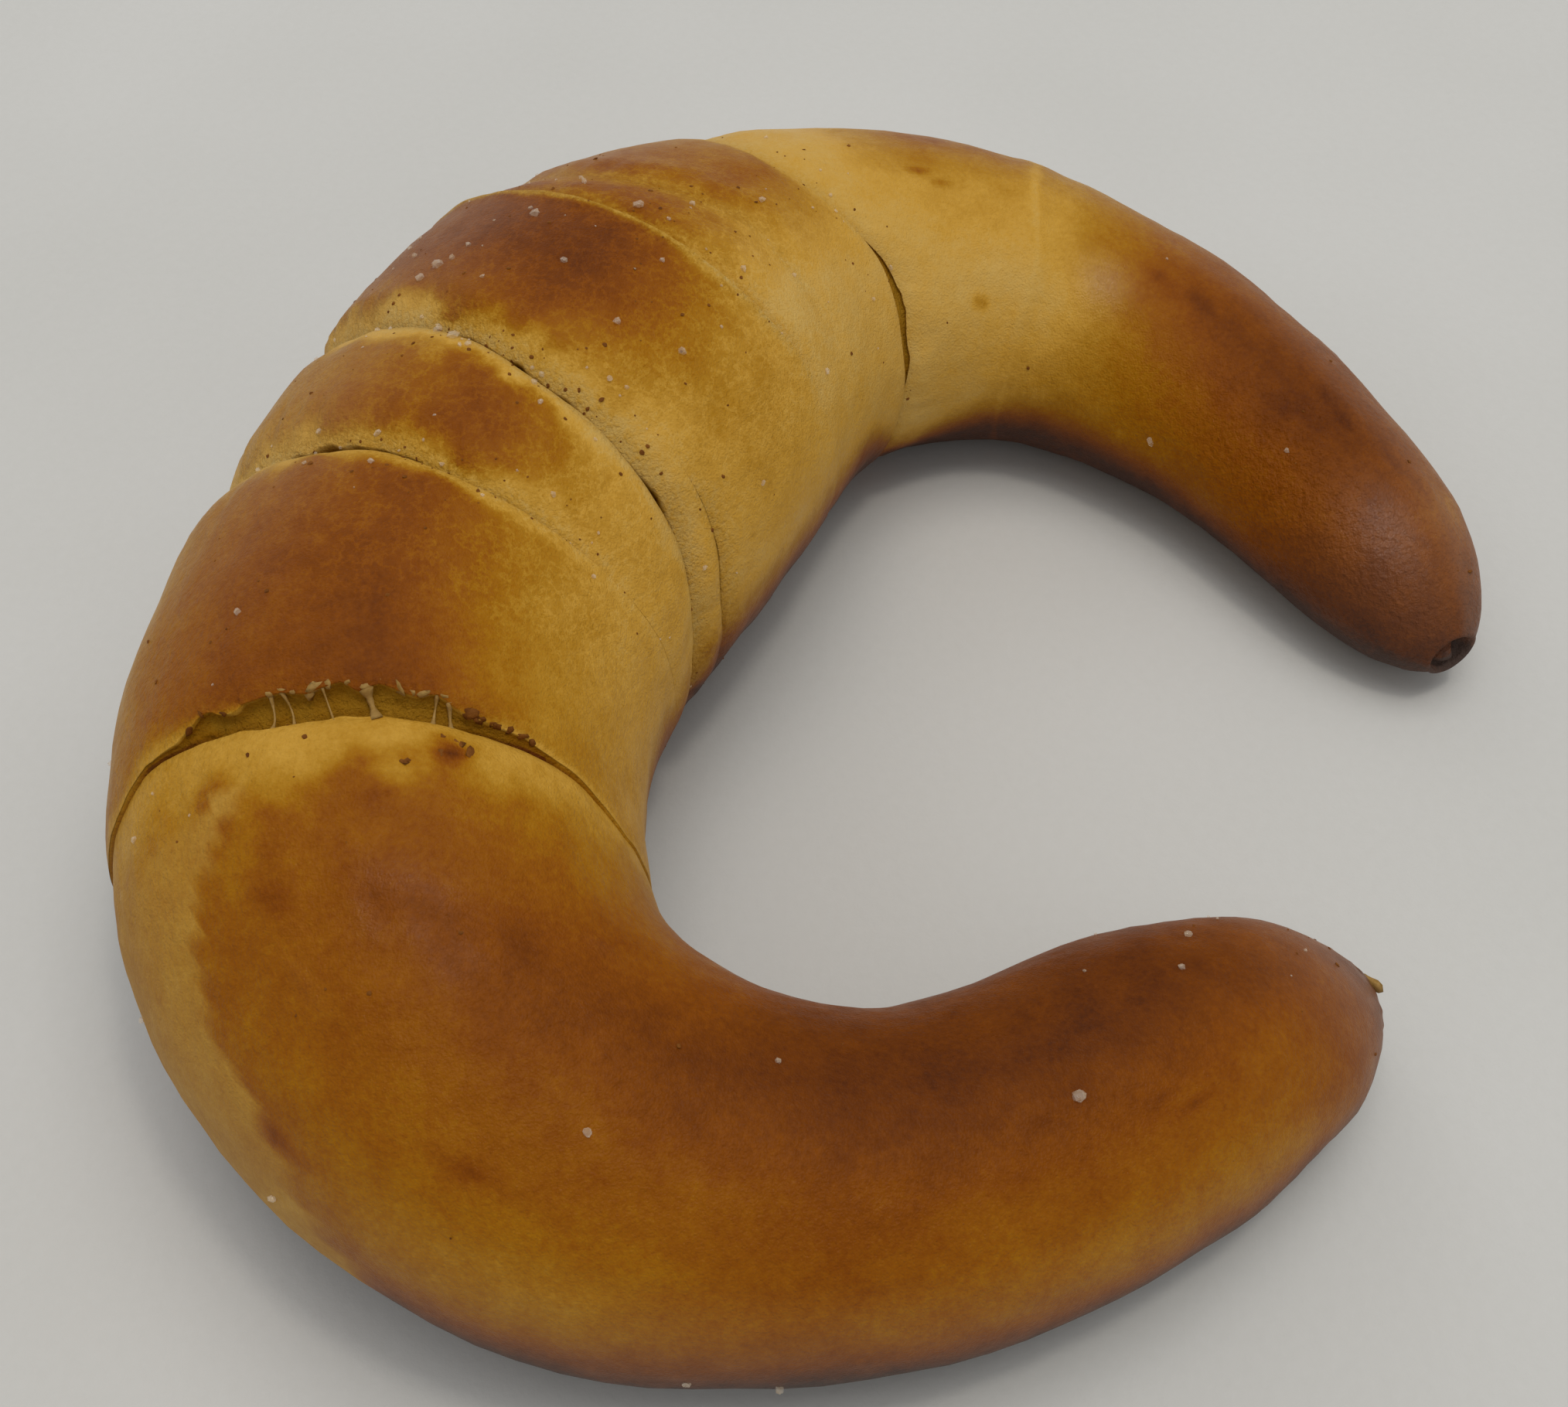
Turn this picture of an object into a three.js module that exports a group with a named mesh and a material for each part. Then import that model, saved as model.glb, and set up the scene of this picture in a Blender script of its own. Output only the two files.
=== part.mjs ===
// A crescent roll: one piece of dough, rolled up from a triangle, bent into a C and baked.
// Millimetres, +Z up, standing on z = 0, with the origin under the middle of its box.
// The two horns lie on either side of a bay that opens towards -Y; +Y is the roll's back.
import * as THREE from 'three';

// ---- driving dimensions ----------------------------------------------------------------

// Plan route of the roll's middle line, from one horn's tip round the back to the other's.
const ROUTE = [
  [-29.5, -44], [-41, -25], [-52.5, -1], [-46.5, 27.5], [-22.5, 40.5], [2.5, 36.5],
  [25, 25], [46, 8], [51.5, -18.5], [35, -42], [7.5, -58.5],
];
const HALF_WIDTH = [6.5, 12.5, 14, 18.5, 22, 23, 24, 19.5, 15, 11.5, 8.5];  // at those points
const BODY_HEIGHT = 0.92;       // height over width where the roll is fattest
const HORN_HEIGHT = 0.88;       // height over width at the horns
const ROUND_CENTRE = 0.48;      // height of a section's middle, over the section's height
const TIP_LENGTH = [15, 13.5];  // how far each tip takes to round off
const TIP_RISE = 0.38;          // height of a tip's end, over the horn's height
const DIMPLE = { depth: 2.4, share: 0.2 };  // hollow in the far tip, where the dough rolls in

// The seams between the rolled layers.  At a turn of 0 the skin faces the bay, at 90 up and at
// 180 outwards; route gives the seam's place along the roll (0 to 1) by turn.  The layer on
// its near side drops by near towards it over nearReach, and the far one likewise.  Where the
// seam has torn open, between the turns from and to, it is gap wide and depth deep.
const SEAMS = [
  {
    route: [[-40, 0.315], [0, 0.325], [20, 0.333], [50, 0.367], [90, 0.383], [135, 0.391], [220, 0.388]],
    near: 1.1, nearReach: 7, far: 0.4, farReach: 4, gap: 1.8, depth: 2.5, from: 45, to: 150,
  },
  {
    route: [[-40, 0.477], [70, 0.478], [97, 0.485], [131, 0.482], [220, 0.482]],
    near: 0.8, nearReach: 6, far: 1.4, farReach: 6, gap: 0.9, depth: 2, from: 85, to: 160,
  },
  {
    route: [[-40, 0.5], [0, 0.51], [25, 0.526], [65, 0.532], [90, 0.538], [112, 0.541], [220, 0.545]],
    near: 0.9, nearReach: 7, far: 1.3, farReach: 4, gap: 0.3, depth: 1.5, from: -20, to: 75,
  },
  {
    route: [[-40, 0.622], [13, 0.619], [64, 0.615], [101, 0.612], [220, 0.608]],
    near: 0.2, nearReach: 3, far: 0.8, farReach: 4, gap: 0.1, depth: 0.3, from: 40, to: 130,
  },
  {
    route: [[-40, 0.63], [9, 0.632], [50, 0.655], [78, 0.645], [111, 0.635], [220, 0.63]],
    near: 0.5, nearReach: 5, far: 0.7, farReach: 5, gap: 0.1, depth: 0.2, from: 40, to: 130,
  },
  {
    route: [[-40, 0.722], [10, 0.733], [45, 0.735], [62, 0.715], [89, 0.696], [109, 0.688], [220, 0.68]],
    near: 0.3, nearReach: 3, far: 1.4, farReach: 6, gap: 0.9, depth: 1.8, from: -10, to: 65,
  },
];
const HAIRLINE = 0.4;           // opening and depth of a seam where it has stayed shut
const TEAR_TAPER = 25;          // degrees of turn over which a tear closes at its ends

const TURNS = 36;                             // points round a section
const LAYER_STEPS = [24, 10, 7, 9, 4, 7, 24]; // sections along each layer
const CRUST = { color: 0xb9752f, roughness: 0.5, metalness: 0 };

// ---- the roll's form -------------------------------------------------------------------

/** Natural cubic spline through evenly spaced values; place runs from 0 to 1. */
function spline(values) {
  const last = values.length - 1;
  const bend = new Array(last + 1).fill(0);
  const load = new Array(last + 1).fill(0);
  for (let i = 1; i < last; i++) {
    const pivot = bend[i - 1] / 2 + 2;
    bend[i] = -0.5 / pivot;
    load[i] = (3 * (values[i + 1] - 2 * values[i] + values[i - 1]) - load[i - 1] / 2) / pivot;
  }
  for (let i = last - 1; i >= 0; i--) bend[i] = bend[i] * bend[i + 1] + load[i];
  return (place) => {
    const i = Math.min(last - 1, Math.floor(place * last));
    const b = place * last - i;
    const a = 1 - b;
    return a * values[i] + b * values[i + 1]
      + ((a ** 3 - a) * bend[i] + (b ** 3 - b) * bend[i + 1]) / 6;
  };
}

const routeX = spline(ROUTE.map((point) => point[0]));
const routeY = spline(ROUTE.map((point) => point[1]));
const halfWidth = spline(HALF_WIDTH);
const routeLength = lengthOfRoute(400);

function lengthOfRoute(steps) {
  let length = 0;
  for (let i = 0; i < steps; i++) {
    const [from, to] = [i / steps, (i + 1) / steps];
    length += Math.hypot(routeX(to) - routeX(from), routeY(to) - routeY(from));
  }
  return length;
}

/** Place of a seam at a turn from 0 to 360. */
function seamPlace(seam, turn) {
  const [first] = seam.route;
  const points = [...seam.route, [first[0] + 360, first[1]]];
  const angle = turn >= first[0] + 360 ? turn - 360 : turn;
  const next = points.findIndex((point) => point[0] > angle);
  const [angle0, place0] = points[next - 1];
  const [angle1, place1] = points[next];
  return place0 + (place1 - place0) * (angle - angle0) / (angle1 - angle0);
}

/** How far a seam has torn open at a turn, from 0 (shut) to 1. */
function tornOpen(seam, turn) {
  const angle = turn > 270 ? turn - 360 : turn;
  const open = THREE.MathUtils.smoothstep(angle, seam.from - TEAR_TAPER, seam.from + TEAR_TAPER);
  const shut = THREE.MathUtils.smoothstep(angle, seam.to - TEAR_TAPER, seam.to + TEAR_TAPER);
  return open * (1 - shut);
}

/** How far the skin lies below the plain rounded form, from the seams near a place. */
function seamDrop(place, turn) {
  let drop = 0;
  for (const seam of SEAMS) {
    const away = (place - seamPlace(seam, turn)) * routeLength;
    const [side, reach] = away < 0 ? [seam.near, seam.nearReach] : [seam.far, seam.farReach];
    drop += side * Math.max(0, 1 - Math.abs(away) / reach) ** 2;
  }
  return drop;
}

/** Share of the full section that is left at a place, which falls to 0 at each tip. */
function tipRounding(place) {
  const near = Math.min(1, (place * routeLength) / TIP_LENGTH[0]);
  const far = Math.min(1, ((1 - place) * routeLength) / TIP_LENGTH[1]);
  return Math.sqrt((1 - (1 - near) ** 2) * (1 - (1 - far) ** 2));
}

/** A point of the skin: place along the roll, turn round it, share of the full section. */
function skinPoint(place, turn, share, drop) {
  const step = 0.001;
  const [from, to] = [Math.max(0, place - step), Math.min(1, place + step)];
  const ahead = new THREE.Vector2(routeX(to) - routeX(from), routeY(to) - routeY(from)).normalize();
  const towardsBay = new THREE.Vector2(ahead.y, -ahead.x);

  const width = halfWidth(place);
  const slimness = THREE.MathUtils.lerp(BODY_HEIGHT, HORN_HEIGHT, (2 * place - 1) ** 2);
  const height = 2 * width * slimness;
  const middle = height * (TIP_RISE * (1 - share) + ROUND_CENTRE * share);
  const angle = THREE.MathUtils.degToRad(turn);
  const side = (width * share - drop) * Math.cos(angle);
  const rise = ((1 - ROUND_CENTRE) * height * share - drop) * Math.sin(angle);
  return [
    routeX(place) + towardsBay.x * side,
    routeY(place) + towardsBay.y * side,
    Math.max(0, middle + rise),
  ];
}

// ---- the mesh --------------------------------------------------------------------------

/** The sections' places: each is {place(turn), share, sink(turn)}. */
function sectionsOfRoll() {
  const half = (seam, turn) => (HAIRLINE + seam.gap * tornOpen(seam, turn)) / 2 / routeLength;
  const sections = [];
  for (let layer = 0; layer <= SEAMS.length; layer++) {
    const before = SEAMS[layer - 1];
    const after = SEAMS[layer];
    const start = (turn) => (before ? seamPlace(before, turn) + half(before, turn) : 0);
    const end = (turn) => (after ? seamPlace(after, turn) - half(after, turn) : 1);
    const steps = LAYER_STEPS[layer];
    for (let i = before ? 0 : 1; i <= (after ? steps : steps - 1); i++) {
      const ease = 0.5 - 0.5 * Math.cos((Math.PI * i) / steps);
      sections.push({ place: (turn) => THREE.MathUtils.lerp(start(turn), end(turn), ease) });
    }
    if (after) {
      sections.push({
        place: (turn) => seamPlace(after, turn),
        sink: (turn) => HAIRLINE + after.depth * tornOpen(after, turn),
      });
    }
  }
  const dimplePlace = 1 - DIMPLE.depth / routeLength;
  sections.push({ place: () => dimplePlace, share: DIMPLE.share });
  return sections;
}

function rollGeometry() {
  const corners = [skinPoint(0, 0, 0, 0)];
  const sections = sectionsOfRoll();
  for (const { place, share, sink } of sections) {
    for (let i = 0; i < TURNS; i++) {
      const turn = (360 * i) / TURNS;
      const here = place(turn);
      const drop = seamDrop(here, turn) + (sink ? sink(turn) : 0);
      corners.push(skinPoint(here, turn, share ?? tipRounding(here), drop));
    }
  }
  corners.push(skinPoint(1 - DIMPLE.depth / routeLength, 0, 0, 0));

  const faces = [];
  const corner = (section, i) => 1 + section * TURNS + (i % TURNS);
  const last = corners.length - 1;
  for (let i = 0; i < TURNS; i++) {
    faces.push(0, corner(0, i), corner(0, i + 1));
    for (let s = 0; s + 1 < sections.length; s++) {
      faces.push(corner(s, i), corner(s + 1, i), corner(s + 1, i + 1));
      faces.push(corner(s, i), corner(s + 1, i + 1), corner(s, i + 1));
    }
    faces.push(last, corner(sections.length - 1, i + 1), corner(sections.length - 1, i));
  }

  const geometry = new THREE.BufferGeometry();
  geometry.setAttribute('position', new THREE.Float32BufferAttribute(corners.flat(), 3));
  geometry.setIndex(faces);
  geometry.computeBoundingBox();
  const middle = geometry.boundingBox.getCenter(new THREE.Vector3());
  geometry.translate(-middle.x, -middle.y, 0);
  geometry.computeVertexNormals();
  return geometry;
}

const roll = new THREE.Mesh(rollGeometry(), new THREE.MeshStandardMaterial(CRUST));
roll.name = 'crescent_roll';

const croissant = new THREE.Group();
croissant.add(roll);

export default croissant;
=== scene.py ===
"""A baked crescent roll in full detail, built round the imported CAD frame.

Lengths of the roll are in millimetres, as in the CAD, and become metres when a mesh is made.
A place runs along the roll from 0 at one horn's tip to 1 at the other's.  A turn, in degrees,
runs round it: 0 faces the bay, 90 is the top, 180 faces outwards and 270 is the base.
"""

import math

import bpy
import numpy as np
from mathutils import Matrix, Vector


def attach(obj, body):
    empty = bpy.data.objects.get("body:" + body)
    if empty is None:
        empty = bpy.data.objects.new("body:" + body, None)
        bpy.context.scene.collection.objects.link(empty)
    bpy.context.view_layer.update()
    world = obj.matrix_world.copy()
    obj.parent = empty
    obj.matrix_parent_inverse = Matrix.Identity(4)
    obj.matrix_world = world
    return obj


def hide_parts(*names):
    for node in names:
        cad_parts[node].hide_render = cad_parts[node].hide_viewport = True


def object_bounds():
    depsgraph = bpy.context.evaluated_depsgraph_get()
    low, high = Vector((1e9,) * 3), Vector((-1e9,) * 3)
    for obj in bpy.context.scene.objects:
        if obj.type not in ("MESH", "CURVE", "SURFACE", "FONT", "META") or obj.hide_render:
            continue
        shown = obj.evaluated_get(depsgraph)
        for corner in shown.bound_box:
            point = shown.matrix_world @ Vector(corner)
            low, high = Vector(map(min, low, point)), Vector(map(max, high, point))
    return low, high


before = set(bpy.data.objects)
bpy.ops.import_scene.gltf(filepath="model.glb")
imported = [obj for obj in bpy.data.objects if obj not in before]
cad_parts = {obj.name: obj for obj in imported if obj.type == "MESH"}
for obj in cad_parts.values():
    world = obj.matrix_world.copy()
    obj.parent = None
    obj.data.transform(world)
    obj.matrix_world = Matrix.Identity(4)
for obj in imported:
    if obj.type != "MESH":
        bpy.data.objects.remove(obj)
cad_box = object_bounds()

MM = 0.001

# ---- the roll's form, as the CAD has it ------------------

ROUTE = [
    (-29.5, -44), (-41, -25), (-52.5, -1), (-46.5, 27.5), (-22.5, 40.5), (2.5, 36.5),
    (25, 25), (46, 8), (51.5, -18.5), (35, -42), (7.5, -58.5),
]
HALF_WIDTH = [6.5, 12.5, 14, 18.5, 22, 23, 24, 19.5, 15, 11.5, 8.5]
BODY_HEIGHT, HORN_HEIGHT = 0.92, 0.88   # a section's height over its width, mid-roll and at the tips
ROUND_CENTRE = 0.48       # how high a section's centre is, over its height
TIP_LENGTH = (15, 13.5)   # over which the near and the far tip round off
TIP_RISE = 0.38           # how high the tips end, over the section's height

# ---- seams between the rolled layers ---------------------
# route: (turn, place) points.
# near, far: how far the layer on that side drops to the seam, over what reach, and how sharply:
#   1 is a straight slope, more is a sharper one and 0 a soft one.  A drop below 0 is a ridge.
# strength: (turn, share) of that relief.
# crease: width and depth of the closed seam.
# tear: from turn, to turn, width and depth where it has split.
# ragged: how far its lips wander.  tuck: how far the split runs under the far lip.
# pale: how far the unbrowned dough shows on the near and far side, and how strongly.
# inside: tone inside the seam where it has split open, and where it is shut.

SEAMS = [
    dict(
        name="bend_tear",
        route=[(-40, 0.32), (0, 0.328), (22, 0.334), (38, 0.356), (51, 0.366), (62, 0.373),
               (80, 0.382), (96, 0.386), (121, 0.391), (143, 0.391), (157, 0.388), (220, 0.385)],
        near=(1.1, 6, 2), far=(0.3, 2, 1.5),
        strength=[(-40, 0.2), (25, 0.25), (60, 0.8), (85, 1), (118, 1), (142, 0.45), (220, 0.4)],
        crease=(0.12, 0.3), tear=(60, 128, 1.5, 1.4), ragged=0.8, tuck=0.25,
        pale=(6.2, 0.8, 0.75), inside=(0.12, 0.95),
    ),
    dict(
        name="back_slit",
        route=[(-40, 0.476), (54, 0.477), (75, 0.478), (97, 0.484), (115, 0.481), (131, 0.480),
               (220, 0.480)],
        near=(0.9, 5, 1.8), far=(1.5, 5, 1.6),
        strength=[(-40, 0), (25, 0.1), (60, 0.7), (95, 1), (120, 1.2), (220, 1)],
        crease=(0.2, 0.35), tear=(94, 150, 1.1, 2.2), ragged=0.35, tuck=0.4,
        pale=(2.0, 2.4, 0.85), inside=(0.3, 0.7),
    ),
    dict(
        name="main_seam",
        route=[(-40, 0.498), (-6, 0.505), (13, 0.513), (24, 0.522), (40, 0.5255), (64, 0.5295),
               (80, 0.532), (92, 0.537), (112, 0.539), (140, 0.539), (220, 0.540)],
        near=(1.0, 6, 2), far=(1.4, 3.6, 1.2),
        strength=[(-40, 0.8), (20, 0.9), (60, 1), (100, 1.2), (140, 1.5), (220, 1)],
        crease=(0.25, 0.6), tear=(-5, 96, 0.32, 1.3), ragged=0.3, tuck=0.3,
        pale=(2.8, 3.0, 0.95), inside=(0.75, 0.75),
    ),
    dict(
        name="inner_split",
        route=[(-40, 0.522), (-4, 0.529), (6, 0.5295), (13, 0.535), (22, 0.5395), (60, 0.5415),
               (220, 0.553)],
        near=(0.35, 2, 1.5), far=(0.5, 3, 1.5),
        strength=[(-40, 0.3), (-5, 1), (25, 1), (45, 0), (200, 0), (220, 0.2)],
        crease=(0.05, 0), tear=(-2, 24, 0.5, 1.2), ragged=0.15, tuck=0.4,
        pale=(1, 1, 0), inside=(0.75, 0.75),
    ),
    dict(
        name="crown_ridge",
        route=[(-40, 0.622), (13, 0.620), (32, 0.619), (47, 0.615), (64, 0.613), (82, 0.612),
               (101, 0.609), (116, 0.607), (220, 0.605)],
        near=(-0.35, 2, 0), far=(0.9, 2.5, 1.5),
        strength=[(-40, 0), (20, 0.2), (45, 0.9), (120, 1), (220, 1)],
        crease=(0.1, 0), tear=(60, 110, 0, 0), ragged=0.3, tuck=0,
        pale=(0.8, 1.4, 0.7), inside=(0.45, 0.45),
    ),
    dict(
        name="crown_ridge_outer",
        route=[(-40, 0.627), (13, 0.625), (32, 0.6245), (47, 0.6205), (64, 0.618), (82, 0.6165),
               (101, 0.613), (116, 0.611), (220, 0.609)],
        near=(0.1, 1, 0), far=(0.7, 5, 1.6),
        strength=[(-40, 0), (30, 0.1), (50, 0.8), (110, 1), (220, 1)],
        crease=(0.1, 0), tear=(70, 100, 0, 0), ragged=0.3, tuck=0,
        pale=(0.6, 1.6, 0.4), inside=(0.45, 0.45),
    ),
    dict(
        name="fold_valley",
        route=[(-40, 0.632), (9, 0.635), (35, 0.650), (66, 0.655), (78, 0.648), (97, 0.638),
               (111, 0.630), (220, 0.628)],
        near=(0.6, 5, 0), far=(0.8, 5, 0),
        strength=[(-40, 0), (20, 0.2), (50, 0.8), (100, 1), (125, 1.2), (220, 1)],
        crease=(0.15, 0), tear=(100, 125, 0, 0), ragged=0.3, tuck=0,
        pale=(2, 2.5, 0.4), inside=(0.5, 0.5),
    ),
    dict(
        name="lap_slit",
        route=[(-40, 0.712), (-10, 0.718), (10, 0.726), (34, 0.728), (48, 0.726), (60, 0.7155),
               (74, 0.705), (90, 0.696), (115, 0.692), (220, 0.690)],
        near=(0.2, 2, 1.5), far=(0.8, 5, 1.5),
        strength=[(-40, 0.9), (0, 0.9), (60, 0.9), (100, 1.1), (140, 1), (220, 1)],
        crease=(0.15, 0.2), tear=(8, 52, 1.7, 0.25), ragged=0.25, tuck=0,
        pale=(0.8, 6.5, 0.75), inside=(0.1, 0.5),
    ),
    dict(
        name="horn_fold",
        route=[(-40, 0.796), (-12, 0.798), (16, 0.803), (59, 0.807), (94, 0.798), (220, 0.794)],
        near=(-0.3, 2.6, 0), far=(-0.3, 2.2, 0),
        strength=[(-40, 0), (0, 0.2), (20, 0.5), (60, 1), (100, 1), (220, 0.5)],
        crease=(0.3, 0), tear=(-30, -10, 0, 0), ragged=0.1, tuck=0,
        pale=(0.6, 0.6, 0.5), inside=(0.1, 0.1),
    ),
]
BEND_TEAR = 0             # where it is in SEAMS; the threads and torn bits follow it
CRUMBLY = dict(bend_tear=0.5, back_slit=0.9, main_seam=1, inner_split=0.7, crown_ridge=0.9,
               crown_ridge_outer=0.6, fold_valley=0.6, lap_slit=0.6)   # at the seams' edges
TEAR_TAPER = 16           # degrees either side of a tear's end over which it closes
RING_RADIUS = 9           # of the ring that a seam's lips take their noise from
LIP_REACH = 0.7           # how far a wandering lip may come in, over the half opening
LIP_ROUNDING = (0.22, 0.5)  # extra drop at a lip, and the distance over which it fades
DEEP_LIP = 0.8            # depth of a seam at which its lips are fully rounded
DEEP_SPLIT = 0.25         # depth of a seam at which its inside shows fully

# How the skin goes down into a split and up again: share of the opening, share of the depth.
SPLIT_PROFILE = [
    (-1, 0), (-1.02, 0.3), (-0.95, 0.75), (-0.6, 1), (-0.1, 1.05), (0.45, 0.95), (1.0, 0.8),
    (1.12, 0.4), (1, 0),
]
WALL_TONE = 0.45          # tone of the far wall of a split, over its floor's
WALL_START = 0.3          # where that wall begins: share of the opening
LAYER_STEPS = [74, 32, 22, 7, 26, 4, 10, 24, 24, 56]   # mesh steps along each layer
TURNS_SEEN, TURNS_BASE = 226, 44   # mesh points round a section, off the base and on it
BASE_TURNS = (232, 308)            # where the base lies

# The far tip, where the dough is rolled in: share of the section, distance inwards.
FAR_TIP = [(0.34, 0.78), (0.31, 0.65), (0.28, 0.8), (0.255, 1.25), (0.235, 1.8), (0.205, 1.75),
           (0.16, 1.3), (0.11, 1.0), (0.05, 0.9)]
FAR_TIP_CUT = 0.9                  # where the plain rounding stops, before the tip
PIT = dict(turn=160, share=0.14, reach=0.06, depth=1.9)   # small hole beside the rolled-in core

# The skin's unevenness as noise: height, wavelength, seed.  Swellings fade out at the tips,
# fine lumps are everywhere, and tip lumps are on the near tip only.
SWELLINGS = [(0.16, 26, 1), (0.05, 9, 2), (0.02, 5, 5)]
FINE_LUMPS = (0.02, 2.4, 3)
TIP_LUMPS = (0.16, 1.7, 4)

# ---- baking and gloss ------------------------------------
# Tone: 0 is unbrowned cream dough, 0.5 amber, 1 the darkest crust.

# Turn, then tone by place along the roll at that turn.
TONE_CURVES = [
    (5, [(0, 0.75), (0.2, 0.65), (0.27, 0.4), (0.35, 0.2), (0.6, 0.12), (0.7, 0.08), (0.78, 0.1),
         (0.85, 0.42), (0.92, 0.56), (0.96, 0.85), (1, 0.92)]),
    (48, [(0, 0.6), (0.05, 0.65), (0.1, 0.8), (0.15, 0.73), (0.22, 0.77), (0.26, 0.58),
          (0.33, 0.4), (0.4, 0.3), (0.51, 0.24), (0.54, 0.12), (0.57, 0.3), (0.6, 0.32),
          (0.63, 0.06), (0.7, 0.08), (0.82, 0.08), (0.86, 0.43), (0.9, 0.63), (0.96, 0.66),
          (1, 0.92)]),
    (84, [(0, 0.85), (0.03, 0.7), (0.05, 0.71), (0.1, 0.87), (0.16, 0.93), (0.24, 0.82),
          (0.29, 0.7), (0.35, 0.55), (0.4, 0.76), (0.45, 0.68), (0.5, 0.66), (0.54, 0.55),
          (0.575, 0.82), (0.6, 0.8), (0.63, 0.55), (0.69, 0.5), (0.72, 0.1), (0.76, 0.2),
          (0.81, 0.18), (0.85, 0.58), (0.88, 0.77), (0.925, 0.86), (0.97, 0.66), (1, 0.86)]),
    (115, [(0, 0.85), (0.03, 0.63), (0.1, 0.67), (0.2, 0.7), (0.27, 0.58), (0.35, 0.57),
           (0.43, 0.64), (0.5, 0.46), (0.54, 0.5), (0.58, 0.72), (0.62, 0.66), (0.66, 0.5),
           (0.69, 0.4), (0.72, 0.1), (0.76, 0.56), (0.81, 0.34), (0.86, 0.58), (0.93, 0.73),
           (0.97, 0.6), (1, 0.88)]),
    (155, [(0, 0.8), (0.04, 0.63), (0.1, 0.44), (0.16, 0.44), (0.22, 0.56), (0.27, 0.4),
           (0.33, 0.5), (0.37, 0.45), (0.42, 0.35), (0.48, 0.25), (0.57, 0.5), (0.65, 0.35),
           (0.72, 0.12), (0.8, 0.3), (0.88, 0.6), (0.97, 0.53), (1, 0.88)]),
]
# Tone of the base, also painted as shade on the low sides near the floor.
BASE_AND_SHADE_TONE = 1.0
BASE_FADE = ((162, 202), (-6, 24))   # over which the dark base tone and its painted shade come in: outer turns, degrees below turn 0
BASE_PALE = (0.74, 0.04, 16)   # where the bay side stays pale lower down: place, reach, degrees
PALE_TONE = 0.05               # dough beside a seam

# Spots with more browning: place, turn, reach along in mm, reach round in degrees, amount.
SCORCHES = [
    (0.281, 132, 1.2, 3, 0.25), (0.323, 152, 1.0, 4, 0.2), (0.316, 154, 2.2, 2.5, 0.2),
    (0.318, 94, 3.5, 8, 0.1), (0.33, 100, 1.5, 3, 0.1), (0.300, 82, 2, 4, 0.1),
    (0.505, 76, 3, 12, 0.1), (0.345, 118, 1.4, 3, 0.15), (0.352, 90, 1.2, 3, 0.12),
    (0.132, 116, 0.8, 2, 0.2), (0.123, 123, 0.7, 2, 0.2),
    (0.3685, 73, 0.7, 3, 0.5), (0.362, 72, 0.9, 4, 0.4), (0.363, 81, 0.6, 2, 0.35),
    (0.845, 84, 0.5, 5, 0.12), (0.852, 86, 0.5, 6, 0.14), (0.858, 86, 0.5, 6, 0.14),
    (0.865, 85, 0.5, 6, 0.14), (0.872, 86, 0.5, 6, 0.12), (0.755, 89, 1.0, 2, 0.3),
    (0.762, 84, 0.6, 2, 0.25), (0.780, 39, 1.2, 3, 0.3), (0.914, 72, 1.3, 5, 0.12),
    (0.924, 77, 1.0, 4, 0.1), (0.931, 94, 1.6, 4, 0.12), (0.948, 104, 1.2, 4, 0.12),
    (0.96, 110, 1.0, 4, 0.1), (0.92, 96, 1.5, 4, 0.1),
]
# The glaze stops short on the bend's outer side: (place, turn) along its edge.
GLAZE_EDGE = [(0.300, 176), (0.320, 154), (0.332, 149), (0.348, 140), (0.361, 126), (0.372, 114)]
BARE_TONE = 0.33

# Small blisters of glaze on the bend, and dents on the far horn: place, turn, radius, height.
# A dent's height is below 0.
BLISTERS = [
    (0.325, 104, 0.9, 0.2), (0.319, 97, 1.1, 0.26), (0.307, 92, 1.0, 0.24), (0.3085, 98, 1.3, 0.2),
    (0.330, 103, 0.8, 0.16), (0.326, 122, 0.8, 0.14), (0.330, 92, 1.6, 0.2), (0.322, 88, 1.4, 0.18),
    (0.336, 97, 1.2, 0.14), (0.282, 68, 0.8, 0.14), (0.914, 72, 1.2, -0.2), (0.924, 78, 0.9, -0.2),
    (0.931, 94, 1.3, -0.25), (0.948, 104, 1.0, -0.2), (0.918, 94, 1.0, -0.2), (0.96, 110, 0.9, -0.2),
]
BLISTER_TROUGH = 0.35     # depth of the ring round a blister, over its height

# Where the glaze shines as if wet: place, turn, reach, share.  The blisters do so too, less.
WET_SPOTS = [(0.836, 66, 2.8, 1), (0.967, 73, 3.4, 1)]
WET_BLISTER = 0.25

# Coarse salt: place and turn of the grains that stand out.  Finer grains are strewn.
SALT_PLACED = [
    (0.573, 109), (0.561, 113), (0.566, 110), (0.569, 124), (0.556, 115), (0.596, 101),
    (0.577, 86), (0.575, 55), (0.623, 87), (0.639, 80), (0.624, 102), (0.670, 74), (0.489, 100),
    (0.536, 102), (0.534, 97), (0.540, 104), (0.532, 92), (0.225, 78), (0.155, 104), (0.098, 77),
    (0.082, 60), (0.882, 12), (0.245, 188), (0.227, 196), (0.312, 174), (0.628, 106),
]
SALT_STREWN = 110
TOASTED_STREWN = 260
# Smallest and largest half sizes.
SALT_SIZE = (0.24, 0.42)
FINE_SALT_SIZE = (0.08, 0.26)
TOASTED_SIZE = (0.06, 0.18)
TORN_SIZE = (0.25, 0.7)
CRUST_SIZE = (0.3, 0.75)
FLAKE_SIZE = (0.8, 0.8)
SALT_LIE = dict(flatness=0.85, lift=0.45)   # see scatter
BIT_TILT = 0.25                  # how much bits lean at random
LOWEST = 0.02                    # bits keep this far above the floor

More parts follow.
